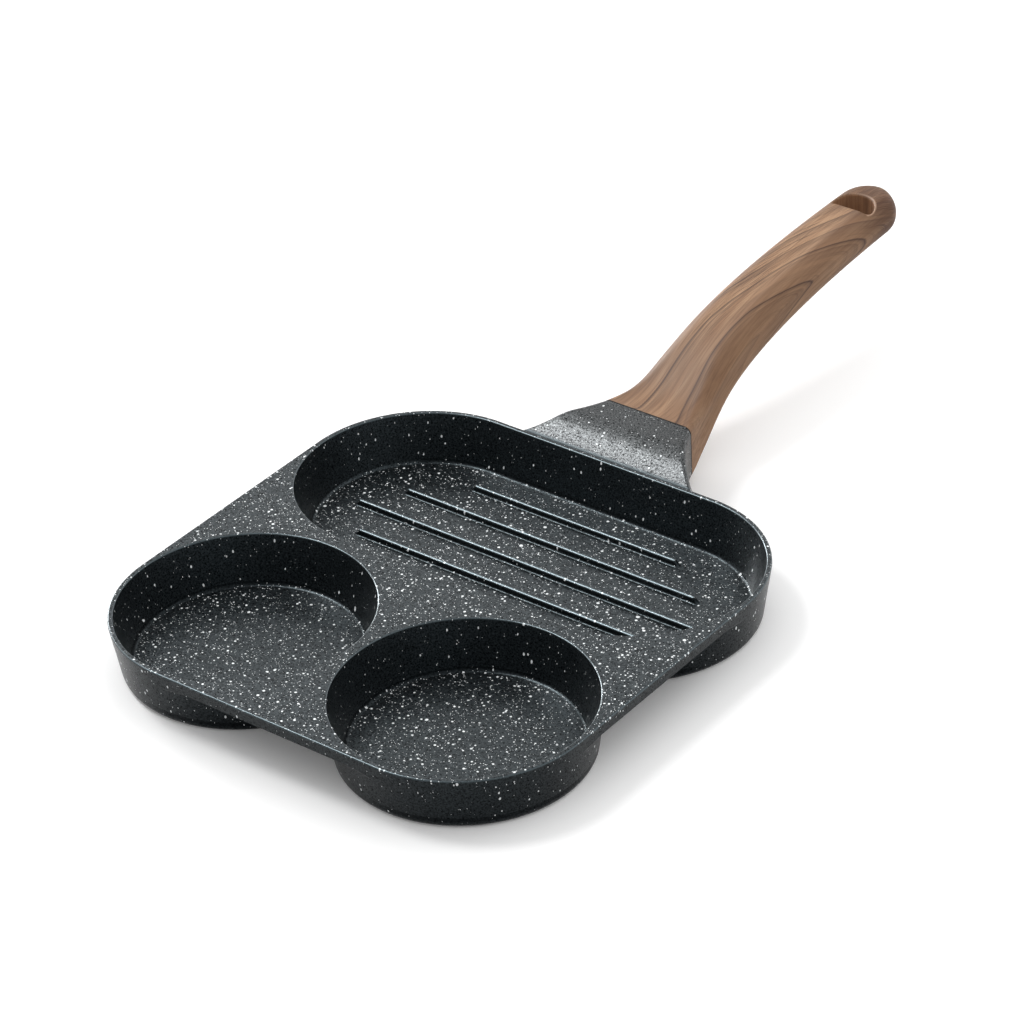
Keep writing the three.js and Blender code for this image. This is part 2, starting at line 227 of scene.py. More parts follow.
def combine(piece, tool, operation):
    """Joins the tool to the piece, or cuts the piece with it, and removes the tool."""
    change = piece.modifiers.new(operation, "BOOLEAN")
    change.operation = operation
    change.solver = "MANIFOLD"
    change.object = tool
    graph = bpy.context.evaluated_depsgraph_get()
    result = bpy.data.meshes.new_from_object(piece.evaluated_get(graph))
    piece.modifiers.clear()
    old = piece.data
    piece.data = result
    bpy.data.meshes.remove(old)
    bpy.data.objects.remove(tool)
    return piece


def outer_radius(z):
    return CORNER_RADIUS - (PAN_HEIGHT - z) * math.tan(OUTER_DRAFT)


def inner_radius(z):
    return CORNER_RADIUS - RIM_WIDTH - (PAN_HEIGHT - z) * math.tan(INNER_DRAFT)


def deck():
    round_z = PAN_HEIGHT - EDGE_ROUND
    round_x = outer_radius(round_z) - EDGE_ROUND / math.cos(OUTER_DRAFT)
    profile = [(outer_radius(deck_bottom), deck_bottom)]
    profile += arc(round_x, round_z, EDGE_ROUND, -OUTER_DRAFT, math.pi / 2, EDGE_STEPS)
    return rounded_solid("deck", profile, corner_x, corner_y)


def envelope():
    profile = [(outer_radius(z), z) for z in (-CUT_MARGIN, PAN_HEIGHT - EDGE_ROUND)]
    return rounded_solid("envelope", profile, corner_x, corner_y)


def well_body(straight_x, place):
    base_x = outer_radius(BASE_EDGE_ROUND) - WALL_STEP - BASE_EDGE_ROUND / math.cos(OUTER_DRAFT)
    fillet_z = deck_bottom - DECK_FILLET
    fillet_x = outer_radius(fillet_z) - WALL_STEP + DECK_FILLET / math.cos(OUTER_DRAFT)
    profile = arc(base_x, BASE_EDGE_ROUND, BASE_EDGE_ROUND, -math.pi / 2, -OUTER_DRAFT, FILLET_STEPS)
    profile += arc(fillet_x, fillet_z, DECK_FILLET, math.pi - OUTER_DRAFT, math.pi / 2, EDGE_STEPS)
    profile.append((fillet_x, deck_bottom + DECK_THICKNESS / 2))
    return rounded_solid("well", profile, straight_x, 0, place)


def well_hollow(straight_x, place):
    fillet_z = FLOOR_THICKNESS + FLOOR_FILLET
    fillet_x = inner_radius(fillet_z) - FLOOR_FILLET / math.cos(INNER_DRAFT)
    lip_z = PAN_HEIGHT - EDGE_ROUND
    lip_x = inner_radius(lip_z) + EDGE_ROUND / math.cos(INNER_DRAFT)
    profile = arc(fillet_x, fillet_z, FLOOR_FILLET, -math.pi / 2, -INNER_DRAFT, FILLET_STEPS)
    profile += arc(lip_x, lip_z, EDGE_ROUND, math.pi - INNER_DRAFT, math.pi / 2, EDGE_STEPS)
    profile.append((lip_x, PAN_HEIGHT + CUT_MARGIN))
    return rounded_solid("hollow", profile, straight_x, 0, place)


def grill_rib(length, y):
    radius = RIB_WIDTH / 2
    crest = FLOOR_THICKNESS + RIB_HEIGHT
    crown = math.pi / 2 * (1 - 1 / (2 * FILLET_STEPS))
    foot = radius + RIB_FILLET
    foot_z = FLOOR_THICKNESS + RIB_FILLET - RIB_SINK
    profile = [(foot, FLOOR_THICKNESS / 2)]
    profile += arc(foot, foot_z, RIB_FILLET, -math.pi / 2, -math.pi, FILLET_STEPS)
    profile += arc(0, crest - radius, radius, 0, crown, FILLET_STEPS)
    rings = []
    for half_width, height in profile:
        run_out = RIB_RUN_OUT * smoothstep(height, FLOOR_THICKNESS, crest)
        reach = length / 2 - run_out + max(half_width - radius, 0)
        outline = rounded_rectangle(reach, half_width, half_width, RIB_STEPS)
        rings.append([(px, y + py, height) for px, py in outline])
    return loft("rib", rings)


neck_plan = bezier(((0, NECK_ROOT_WIDTH / 2), NECK_FLARE, NECK_WAIST, (NECK_LENGTH, JOINT_WIDTH / 2)))


def neck_top(along):
    easing = NECK_RAMP_LENGTH - NECK_RAMP_STRAIGHT
    eased = min(max((along - NECK_RAMP_STRAIGHT) / easing, 0), 1)
    run = min(along, NECK_RAMP_STRAIGHT) + easing * (eased - eased**2 / 2)
    return lerp(PAN_HEIGHT - NECK_ROOT_DROP, joint_top, run / (NECK_RAMP_STRAIGHT + easing / 2))


def neck_sections(name, reach, wall, opening):
    rings = []
    for along in np.linspace(-NECK_ROOT_OVERLAP, reach, NECK_STATIONS + 1):
        clamped = max(along, 0)
        bottom = lerp(NECK_ROOT_BOTTOM, joint_top - JOINT_HEIGHT, clamped / NECK_LENGTH)
        rings.append(cross_section(neck_plan(clamped) - wall, bottom - opening, neck_top(clamped) - wall,
                                   NECK_CORNER, PAN_LENGTH / 2 + along))
    return loft(name, rings)


def neck():
    outer = neck_sections("neck", NECK_LENGTH, 0, 0)
    hollow = neck_sections("neck_hollow", NECK_LENGTH - NECK_END_WALL, NECK_WALL, JOINT_HEIGHT)
    return combine(outer, hollow, "DIFFERENCE")


def tang(clearance):
    half_width = TANG_WIDTH / 2 + clearance
    half_height = TANG_THICKNESS / 2 + clearance
    ends = (joint_y - NECK_END_WALL / 2, joint_y + TANG_LENGTH + clearance)
    return loft("tang", [cross_section(half_width, tang_z - half_height, tang_z + half_height, TANG_CORNER, y)
                         for y in ends])


def screw_bar(radius, bottom, top):
    return rounded_solid("bar", ((radius, bottom), (radius, top)), 0, 0, (0, screw_y), TURN_STEPS // 4)


def pan_casting():
    wells = ((corner_x, (0, corner_y)), (0, (-corner_x, -corner_y)), (0, (corner_x, -corner_y)))
    body = combine(deck(), neck(), "UNION")
    combine(body, tang(0), "UNION")
    for straight_x, place in wells:
        combine(body, combine(well_body(straight_x, place), envelope(), "INTERSECT"), "UNION")
    for straight_x, place in wells:
        combine(body, well_hollow(straight_x, place), "DIFFERENCE")
    for i, length in enumerate(RIB_LENGTHS):
        combine(body, grill_rib(length, corner_y + RIB_OFFSET - i * RIB_PITCH), "UNION")
    combine(body, screw_bar(SCREW_BORE, seat_z, tang_z + TANG_THICKNESS), "DIFFERENCE")
    body.name = "coated_casting"
    return body


sweep = bezier(((0, JOINT_MIDDLE), (SWEEP_LEAD, JOINT_MIDDLE),
                (SWEEP_CREST[0], JOINT_MIDDLE + SWEEP_CREST[1]),
                (HANDLE_LENGTH, JOINT_MIDDLE + HANDLE_RISE)))
handle_plan = bezier(((0, JOINT_WIDTH / 2), HANDLE_FLARE, HANDLE_WAIST, (HANDLE_LENGTH, TAIL_WIDTH / 2)))


def handle_half_height(along):
    return lerp(JOINT_HEIGHT, TAIL_HEIGHT, along / HANDLE_LENGTH) / 2


def handle_corner(along):
    return lerp(NECK_CORNER, GRIP_CORNER, smoothstep(along, 0, GRIP_START))


def handle_section(along, width_share=1.0, height_share=1.0):
    middle = sweep(along)
    half_height = handle_half_height(along) * height_share
    return cross_section(handle_plan(along) * width_share, middle - half_height, middle + half_height,
                         handle_corner(along), joint_y + along)


def handle_body():
    nose_start = HANDLE_LENGTH - NOSE_LENGTH
    rings = [handle_section(along) for along in np.linspace(JOINT_GAP, nose_start, HANDLE_STATIONS)]
    for i in range(1, NOSE_STATIONS + 1):
        share = math.sin(i / NOSE_STATIONS * math.pi / 2)
        rings.append(handle_section(nose_start + NOSE_LENGTH * share, math.sqrt(1 - share**2),
                                    (1 - share**4) ** 0.25))
    return loft("handle", rings)


def handle_surface(x, along, side):
    """Height of the handle's top or bottom face at a place across it."""
    half_height = handle_half_height(along)
    corner = min(handle_corner(along), half_height)
    past = min(max(abs(x) - (handle_plan(along) - corner), 0), corner)
    return sweep(along) + side * (half_height - corner + math.sqrt(corner**2 - past**2))


def hang_hole():
    """The half-disc hole, with round lips on its curved side that follow the handle's faces."""
    middle = HANDLE_LENGTH - HOLE_FROM_END + HOLE_CORNER
    lip = [(HOLE_LIP * (1 - math.sin(a)), HOLE_LIP * (1 - math.cos(a)))
           for a in np.linspace(0, math.pi / 2, LIP_STEPS + 1)]
    levels = [(-1, flare, depth) for flare, depth in lip] + [(1, flare, depth) for flare, depth in lip[::-1]]
    rings = []
    for side, flare, depth in levels:
        outline = arc(0, middle, HOLE_RADIUS + flare, 0, math.pi, HOLE_STEPS)
        reach = HOLE_RADIUS + flare - HOLE_CORNER
        outline += arc(-reach, middle, HOLE_CORNER, math.pi, math.pi * 1.5, LIP_STEPS)[1:]
        outline += arc(reach, middle, HOLE_CORNER, math.pi * 1.5, math.pi * 2, LIP_STEPS)[:-1]
        rings.append([(x, joint_y + along, handle_surface(x, along, side) - side * depth)
                      for x, along in outline])
    low = sweep(middle) - TAIL_HEIGHT
    high = sweep(middle) + TAIL_HEIGHT
    rings.insert(0, [(x, y, low) for x, y, z in rings[0]])
    rings.append([(x, y, high) for x, y, z in rings[-1]])
    return loft("hang_hole", rings)


def handle():
    below = JOINT_MIDDLE - JOINT_HEIGHT
    body = handle_body()
    combine(body, hang_hole(), "DIFFERENCE")
    combine(body, tang(SOCKET_CLEARANCE), "DIFFERENCE")
    combine(body, screw_bar(SCREW_BORE, below, tang_z + TANG_THICKNESS / 2), "DIFFERENCE")
    combine(body, screw_bar(COUNTERBORE, below, seat_z), "DIFFERENCE")
    body.name = "wood_look_handle"
    return body


def smooth(piece):
    """Rounds the shading across the fine facets and keeps the flat faces flat."""
    mesh = piece.data
    mesh.polygons.foreach_set("use_smooth", np.ones(len(mesh.polygons), bool))
    mesh.set_sharp_from_angle(angle=SHARP_ANGLE)
    weighted = piece.modifiers.new("even normals", "WEIGHTED_NORMAL")
    weighted.keep_sharp = True
    weighted.weight = NORMAL_WEIGHT


# Growth rings of the wood print: nested arches on the right flank whose tips point to the handle's tail.
# The arches' arms turn back over the top towards the joint. Lengths are in millimetres, angles in degrees.
ARCH_START = 94
ARCH_PITCH = 38
ARCH_TIP_ANGLE = 75
ARCH_TIP_DRIFT = (11, 4)
ARCH_OPENING = 38
ARCH_SPREAD = 1.24
ARCH_LEAST = 12
ARM_TURN = 1.28
ARM_TURN_REACH = 54
SOFT_TURN = 14


def soft_ramp(value):
    """Zero below zero and the value itself above, with a soft bend between."""
    return (value + np.sqrt(value**2 + SOFT_TURN**2)) / 2


def ring_value(along, angle):
    """The tip's distance of the arch that passes a place on the handle, from its angle around the grip."""
    step = (along - ARCH_START) / ARCH_PITCH
    tip_angle = ARCH_TIP_ANGLE + ARCH_TIP_DRIFT[0] * step + ARCH_TIP_DRIFT[1] * step**2
    turned = angle - ARM_TURN * soft_ramp(ARM_TURN_REACH - along)
    off_tip = ((turned - tip_angle + 180) % 360 - 180) ** 2
    opening = ARCH_LEAST + soft_ramp(ARCH_OPENING + ARCH_SPREAD * (along - ARCH_START) - ARCH_LEAST)
    return along + (np.sqrt(opening**2 + 4 * ARCH_SPREAD * off_tip) - opening) / (2 * ARCH_SPREAD)


def add_grain(piece):
    """Stores the place along, across and above the handle's middle line, and the ring value, in metres."""
    mesh = piece.data
    place = np.empty(len(mesh.vertices) * 3)
    mesh.vertices.foreach_get("co", place)
    place = (place.reshape(-1, 3) - np.array(pan_centre)) / MM
    along = np.clip(place[:, 1] - joint_y, 0, HANDLE_LENGTH)
    up = place[:, 2] - np.array([sweep(a) for a in along])
    half_width = np.array([handle_plan(a) for a in along])
    half_height = handle_half_height(along)
    angle = np.degrees(np.arctan2(place[:, 0] / half_width, up / half_height))
    straight = np.stack([place[:, 0], along, up], 1) * MM
    rings = ring_value(along, angle) * MM
    mesh.attributes.new("grain", "FLOAT_VECTOR", "POINT").data.foreach_set("vector", straight.ravel())
    mesh.attributes.new("rings", "FLOAT", "POINT").data.foreach_set("value", rings)


class Shader:
    """A new material and short ways to add nodes to it."""

    def __init__(self, name):
        self.material = bpy.data.materials.new(name)
        self.material.use_nodes = True
        self.tree = self.material.node_tree
        self.surface = self.tree.nodes["Principled BSDF"]

    def plug(self, socket, value):
        if isinstance(value, bpy.types.NodeSocket):
            self.tree.links.new(value, socket)
        else:
            socket.default_value = value

    def node(self, kind, output=0, settings=None, **inputs):
        made = self.tree.nodes.new(kind)
        for name, value in (settings or {}).items():
            setattr(made, name, value)
        for name, value in inputs.items():
            self.plug(made.inputs[name], value)
        return made.outputs[output]

    def math(self, operation, *values):
        made = self.tree.nodes.new("ShaderNodeMath")
        made.operation = operation
        for socket, value in zip(made.inputs, values):
            self.plug(socket, value)
        return made.outputs[0]

    def vector_math(self, operation, output, *values):
        made = self.tree.nodes.new("ShaderNodeVectorMath")
        made.operation = operation
        for socket, value in zip(made.inputs, values):
            self.plug(socket, value)
        return made.outputs[output]

    def chain(self, operation, values):
        result = values[0]
        for value in values[1:]:
            result = self.math(operation, result, value)
        return result

    def product(self, *values):
        return self.chain("MULTIPLY", values)

    def largest(self, *values):
        return self.chain("MAXIMUM", values)

    def component(self, vector, axis):
        return self.node("ShaderNodeSeparateXYZ", axis, None, Vector=vector)

    def noise(self, vector, scale, detail=2.0, roughness=0.5):
        return self.node("ShaderNodeTexNoise", 0, None, Vector=vector, Scale=scale, Detail=detail,
                         Roughness=roughness)

    def scaled(self, vector, scale):
        return self.node("ShaderNodeMapping", 0, None, Vector=vector, Scale=scale)

    def grained(self, vector, kind):
        """Noise drawn out along the handle, from its scales, detail and roughness."""
        scales, detail, roughness = kind
        return self.noise(self.scaled(vector, scales), 1.0, detail, roughness)

    def spread(self, value, low, high, to_low=0.0, to_high=1.0, smooth_ends=False):
        made = self.tree.nodes.new("ShaderNodeMapRange")
        made.interpolation_type = "SMOOTHSTEP" if smooth_ends else "LINEAR"
        for name, number in (("Value", value), ("From Min", low), ("From Max", high), ("To Min", to_low),
                             ("To Max", to_high)):
            self.plug(made.inputs[name], number)
        return made.outputs[0]

    def span(self, length, limits, ends=(0.0, 1.0), smooth_ends=False):
        """Spreads a length in metres between limits in millimetres."""
        return self.spread(length, limits[0] * MM, limits[1] * MM, *ends, smooth_ends)

    def mix(self, share, first, second):
        made = self.tree.nodes.new("ShaderNodeMix")
        made.data_type = "RGBA"
        self.plug(made.inputs[0], share)
        self.plug(made.inputs[6], first)
        self.plug(made.inputs[7], second)
        return made.outputs[2]

    def ramp(self, value, stops):
        made = self.tree.nodes.new("ShaderNodeValToRGB")
        self.plug(made.inputs[0], value)
        elements = made.color_ramp.elements
        while len(elements) < len(stops):
            elements.new(0.5)
        for element, (position, colour) in zip(elements, stops):
            element.position = position
            element.color = colour
        return made.outputs[0]

    def bump(self, height, strength, distance):
        normal = self.node("ShaderNodeBump", 0, None, Height=height, Strength=strength, Distance=distance)
        self.plug(self.surface.inputs["Normal"], normal)


# Coating: its two dark greys and the mottle that blends them
COAT_STOPS = ((0.32, (0.0022, 0.003, 0.0035, 1)), (0.72, (0.0068, 0.0086, 0.0098, 1)))
MOTTLE_SCALE = 1500
MOTTLE_ROUGHNESS = 0.7
MOTTLE_SPAN = (0.3, 0.7)
COAT_IOR = 1.5

# Flecks: cell of a scattered grid, least and largest radius in millimetres, and raggedness in cells
FINE_FLECKS = (0.8, 0.1, 0.23, 0.3)
SMALL_FLECKS = (1.7, 0.22, 0.55, 0.25)
LARGE_FLECKS = (8, 0.5, 0.85, 0.12)
FLECK_WHITE = (0.94, 0.97, 0.98, 1)
FLECK_EDGE = 0.03
FLECK_WOBBLE = 1.6
FLECK_DIMMEST = 0.75
FLECK_STRETCH = (1, 1, 0.55)

# Share of cells left empty and size of the flecks, first on walls and then on level faces
FINE_EMPTY = (0.84, 0.44)
LARGER_EMPTY = (0.8, 0.67)
FLECK_SIZES = (0.78, 1.0)
LEVEL_SPAN = (0.3, 0.9)
NECK_LEVEL = 0.3

# Roughness and sheen over the mottle
SATIN = (0.26, 0.34)
GLOSS = (0.02, 0.74)
BODY_TINT = (0.74, 0.915, 1.0, 1)

# Painted shade on the outer walls: less sheen where the surface faces down, by how far the surface faces up
OUTER_WALL_SPAN = (-0.1, 0.1)
OUTER_WALL_SHADE_SHARE = 0.42

# Painted highlights on the rib crests and lips, by height in millimetres and by how far the surface faces up
CREST_MARGIN = 0.45
CREST_SPAN = (0.45, 0.6)
LIP_TOP_SPAN = (0.97, 0.92)
LIP_SIDE_SPAN = (0.2, 0.35)

# Painted highlight and shade in the floor fillets: more sheen where they face left and less where they face
# right, away from the ribs
FILLET_MIDDLE = 0.8
FILLET_MARGIN = 0.9
FILLET_SLOPE_SPAN = (0.97, 0.88)
FILLET_FACING_SPAN = (-0.7, 0.05)
FILLET_HIGHLIGHT_CHANGE = (1.2, -0.6)
RIBS_MIDDLE = 5
RIBS_REACH = 28

# Neck: distances past the pan's rim in millimetres, and its rougher, more neutral coating, whose extra sheen
# is a painted highlight strongest on the ramp
NECK_FLECKS_END = (-1, 0)
NECK_FINISH_START = (0.5, 1.5)
NECK_ROUGHER = 0.1
NECK_MOTTLE_SPAN = (0.34, 0.66)
NECK_GLOSS = 0.8
NECK_GLOSS_SPAN = (8, 13)
NECK_HIGHLIGHT_SHARES = (1.7, 1.2)
NECK_TINT = (0.93, 0.98, 1.0, 1)

# Bump: grain of the coating on the pan and on the neck, and the dish of the neck's ramp
COAT_GRAIN_SCALE = 2200
COAT_GRAIN = (0.035 * MM, 0.07 * MM)
DISH_HEIGHT = 0.38
DISH_RUN_OUT = 1.14
DISH_END = 13.5


def flecks(shader, place, kind, empty, shrink):
    """White spots of the coating: one in some cells of a scattered grid, with ragged outlines."""
    width, least, largest, raggedness = kind
    cell = width * MM
    wobble = shader.node("ShaderNodeTexNoise", "Color", None, Vector=place, Scale=FLECK_WOBBLE / cell,
                         Detail=1.0)
    moved = shader.vector_math("MULTIPLY_ADD", 0, wobble, (raggedness * cell,) * 3, place)
    distance = shader.node("ShaderNodeTexVoronoi", "Distance", None, Vector=moved, Scale=1 / cell)
    lots = shader.node("ShaderNodeSeparateColor", 0, None, Color=distance.node.outputs["Color"])
    radius = shader.spread(lots, empty, 1.0, least * MM / cell, largest * MM / cell)
    inside = shader.math("SUBTRACT", shader.product(radius, shrink), distance)
    spot = shader.spread(inside, 0.0, FLECK_EDGE * MM / cell)
    present = shader.math("GREATER_THAN", lots, empty)
    brightness = shader.spread(lots.node.outputs[1], 0.0, 1.0, FLECK_DIMMEST, 1.0)
    return shader.product(spot, present, brightness)


def all_flecks(shader, place, upright, past_rim):
    """Flecks of three sizes, fewer and smaller on walls and on the neck."""
    bare_neck = shader.span(past_rim, NECK_FLECKS_END, (1.0, NECK_LEVEL))
    level = shader.product(shader.spread(upright, *LEVEL_SPAN), bare_neck)
    shrink = shader.spread(level, 0.0, 1.0, *FLECK_SIZES)
    fine_empty = shader.spread(level, 0.0, 1.0, *FINE_EMPTY)
    larger_empty = shader.spread(level, 0.0, 1.0, *LARGER_EMPTY)
    stretched = shader.scaled(place, FLECK_STRETCH)
    fine = flecks(shader, stretched, FINE_FLECKS, fine_empty, shrink)
    small = flecks(shader, stretched, SMALL_FLECKS, larger_empty, shrink)
    large = flecks(shader, stretched, LARGE_FLECKS, larger_empty, shrink)
    return shader.largest(fine, small, large)


def painted_fillet_highlight(shader, above, upright, facing, along):
    """A factor for the sheen that paints highlight and shade into the floor fillets and differs from 1 there
    only.
    """
    in_fillet = shader.math("COMPARE", above, (FLOOR_THICKNESS + FILLET_MIDDLE) * MM, FILLET_MARGIN * MM)
    sloped = shader.product(in_fillet, shader.spread(upright, *FILLET_SLOPE_SPAN))
    ribs_y = pan_centre.y + (corner_y + RIBS_MIDDLE) * MM
    beside_ribs = shader.math("COMPARE", along, ribs_y, RIBS_REACH * MM)
    changed = shader.product(sloped, shader.math("SUBTRACT", 1.0, beside_ribs))
    change = shader.spread(facing, *FILLET_FACING_SPAN, *FILLET_HIGHLIGHT_CHANGE)
    return shader.math("MULTIPLY_ADD", changed, change, 1.0)


def painted_highlights(shader, above, upright):
    """Painted highlights: full sheen on the rib crests and on the lips of the pan and the wells."""
    crest = (FLOOR_THICKNESS + RIB_HEIGHT) * MM
    by_crest = shader.math("COMPARE", above, crest, CREST_MARGIN * MM)
    crests = shader.product(by_crest, shader.spread(upright, *CREST_SPAN))
    by_top = shader.math("COMPARE", above, (PAN_HEIGHT - EDGE_ROUND / 2) * MM, EDGE_ROUND / 2 * MM)
    rounded = shader.product(shader.spread(upright, *LIP_TOP_SPAN), shader.spread(upright, *LIP_SIDE_SPAN))
    return shader.largest(crests, shader.product(by_top, rounded))


def neck_dish(shader, past_rim):
    """Bump height that flattens the neck's ramp at its foot and at its top."""
    on_ramp = shader.span(past_rim, (0, NECK_RAMP_STRAIGHT), (-1.0, 1.0))
    beyond = shader.span(past_rim, (NECK_RAMP_STRAIGHT, DISH_END))
    dish = shader.product(shader.math("POWER", on_ramp, 3.0), -DISH_HEIGHT * MM)
    run_out = shader.math("MULTIPLY_ADD", shader.product(beyond, beyond), -0.5, beyond)
    return shader.math("MULTIPLY_ADD", run_out, -DISH_RUN_OUT * MM, dish)


def coating():
    shader = Shader("speckled coating")
    surface = shader.surface.inputs
    place = shader.node("ShaderNodeTexCoord", "Object")
    along = shader.component(place, "Y")
    above = shader.component(place, "Z")
    normal = shader.node("ShaderNodeNewGeometry", "Normal")
    facing = shader.component(normal, "X")
    upright = shader.component(normal, "Z")
    past_rim = shader.math("SUBTRACT", along, pan_centre.y + PAN_LENGTH / 2 * MM)
    on_neck = shader.span(past_rim, NECK_FINISH_START)
    mottle = shader.noise(place, MOTTLE_SCALE, 2.0, MOTTLE_ROUGHNESS)

    white = all_flecks(shader, place, upright, past_rim)
    shader.plug(surface["Base Color"], shader.mix(white, shader.ramp(mottle, COAT_STOPS), FLECK_WHITE))

    satin = shader.spread(mottle, *MOTTLE_SPAN, *SATIN)
    shader.plug(surface["Roughness"], shader.math("MULTIPLY_ADD", on_neck, NECK_ROUGHER, satin))

    gloss = shader.spread(mottle, *MOTTLE_SPAN, *GLOSS)
    # Painted highlight and shade in the floor fillets, by the way they face
    fillets = painted_fillet_highlight(shader, above, upright, facing, along)
    # Painted shade: the sheen drops where the surface faces down, on the outer walls
    outer_wall_shade = shader.spread(upright, *OUTER_WALL_SPAN, OUTER_WALL_SHADE_SHARE, 1.0)
    body_sheen = shader.product(gloss, fillets, outer_wall_shade)
    neck_gloss = shader.spread(mottle, *NECK_MOTTLE_SPAN, 0.0, NECK_GLOSS)
    # Painted highlight: the neck's sheen is strongest on its ramp
    neck_sheen = shader.product(neck_gloss, shader.span(past_rim, NECK_GLOSS_SPAN, NECK_HIGHLIGHT_SHARES))
    difference = shader.math("SUBTRACT", neck_sheen, body_sheen)
    sheen = shader.math("MULTIPLY_ADD", on_neck, difference, body_sheen)
    # Painted highlights on the rib crests and lips take the larger sheen
    shader.plug(surface["Specular IOR Level"], shader.largest(sheen, painted_highlights(shader, above, upright)))
    shader.plug(surface["Specular Tint"], shader.mix(on_neck, BODY_TINT, NECK_TINT))
    surface["IOR"].default_value = COAT_IOR

    coarseness = shader.spread(on_neck, 0.0, 1.0, *COAT_GRAIN)
    pebbles = shader.noise(place, COAT_GRAIN_SCALE)
    height = shader.math("MULTIPLY_ADD", pebbles, coarseness, neck_dish(shader, past_rim))
    shader.bump(height, 1.0, 1.0)
    return shader.material


# Growth rings that show as lines: ring value in millimetres and darkness
RING_LINES = ((57, 0.4), (88, 0.45), (94.5, 1.0), (111, 0.2), (127.5, 0.45), (133, 0.95), (156, 0.7),
              (181, 0.85), (207, 0.6), (236, 0.8))
RING_LOW = 40
RING_HIGH = 250
RING_LEAD = 1.6
RING_TRAIL = 1.0
RING_LEAD_SHADE = (0.1, 0.35)
RING_FIRST_SHADE = 0.04
RING_CLEAR_SHADE = 0.03
RING_WAVE = 2.5
RING_WAVE_SPAN = (0.2, 0.8)

# Noise of the print: scales across, along and through the handle, detail and roughness
WAVE_NOISE = ((60, 25, 60), 2.0, 0.5)
STREAK_NOISE = ((1300, 34, 1300), 4.0, 0.65)
BROAD_NOISE = ((190, 12, 190), 3.0, 0.6)
TAIL_NOISE = ((420, 30, 420), 2.0, 0.5)
HOLE_NOISE = ((330, 330, 15), 3.0, 0.6)

# Noise that follows the rings: scales over the ring value and along the handle, detail and roughness
BAND_NOISE = ((420, 22, 1), 4.0, 0.7)
HAIR_NOISE = ((330, 13, 1), 2.0, 0.55)

# Colours of the print, and of the painted shade, light and highlight laid over it
WOOD_DARK = (0.32, 0.172, 0.086, 1)
WOOD_LIGHT = (0.47, 0.285, 0.16, 1)
FIBRE_COLOUR = (0.15, 0.072, 0.038, 1)
BAND_COLOUR = (0.1, 0.047, 0.03, 1)
# Painted shade for the right flank and near the joint
PAINTED_SHADE_COLOUR = (0.15, 0.08, 0.046, 1)
HAIR_COLOUR = (0.045, 0.02, 0.013, 1)
RING_COLOUR = (0.035, 0.015, 0.012, 1)
TAIL_COLOUR = (0.085, 0.036, 0.017, 1)
# Browns of the hang hole's wall, painted lighter than the tail around it as painted light
HOLE_DARK = (0.17, 0.084, 0.044, 1)
HOLE_LIGHT = (0.36, 0.192, 0.102, 1)
# Painted highlight on the hang hole's lip
LIP_HIGHLIGHT_COLOUR = (0.55, 0.36, 0.24, 1)
# Painted shade in the gap at the joint, on the handle's end face
PAINTED_JOINT_SHADE = (0.012, 0.009, 0.008, 1)

# Spans of the noise, and how strongly each part of the print covers what is below it
BROAD_SPAN = (0.35, 0.65)
FIBRE_SPAN = (0.44, 0.66)
FIBRE_SHARE = 0.5
BAND_SPAN = (0.55, 0.7)
BAND_SHARE = 0.6
HAIR_SPAN = (0.033, 0.012)
TAIL_STREAK_SPAN = (0.42, 0.62)
TAIL_STREAK_SHARES = (0.4, 0.88)
HOLE_STREAK_SPAN = (0.36, 0.64)

# Places of the print and of its painted shade in millimetres along or across the handle, and the shares at
# their two ends
# Painted shade on the right flank and near the joint
FLANK_ACROSS = (1, 8)
FLANK_SHADE_SHARES = (0.0, 0.48)
FRONT_ALONG = (52, 24)
FRONT_SHADE_SHARES = (0.0, 0.3)
TAIL_ALONG = (128, 152)
HAIR_ACROSS = (6, -2)
HAIR_SHARES = (0.12, 0.75)
HAIR_GROWTH_ALONG = (20, 70)
HAIR_GROWTH = (0.3, 1.0)
TIP_ALONG = (156, 163)
TIP_HAIR_SHARES = (0.9, 0.2)
# Painted shade at the joint: the first part of the handle that is darkened
JOINT_ALONG = (0.45, 0.8)

# Hang hole: limits past its flat edge and its radius, shares of its wall, of the painted light on the wall's
# right side and of the painted highlight on its lip
HOLE_EDGE_LIMITS = (0.1, 0.6)
HOLE_WALL_LIMITS = (0.3, 0.1)
HOLE_WALL_SHARE = 0.85
HOLE_LIT_ACROSS = (0, 8)
HOLE_LIT_SHARES = (0.0, 0.35)
LIP_LIMITS = (HOLE_LIP, 0.5)
LIP_HIGHLIGHT_ACROSS = (-8, 9)
LIP_HIGHLIGHT_SHARES = (0.15, 0.5)

# Surface of the print
PRINT_SPAN = (0.3, 0.7)
PRINT_ROUGHNESS = (0.52, 0.64)
PRINT_SPECULAR = 0.22
PRINT_BUMP_STRENGTH = 0.1
PRINT_BUMP_HEIGHT = 0.15


def ring_shades():
    """Stops of a ramp that darkens slowly before each line and clears quickly after it."""
    stops = [(RING_LOW, RING_FIRST_SHADE)]
    for value, darkness in RING_LINES:
        lead_shade = RING_LEAD_SHADE[0] + RING_LEAD_SHADE[1] * darkness
        stops += [(value - RING_LEAD, lead_shade), (value, darkness), (value + RING_TRAIL, RING_CLEAR_SHADE)]
    return [((value - RING_LOW) / (RING_HIGH - RING_LOW), (share, share, share, 1)) for value, share in stops]


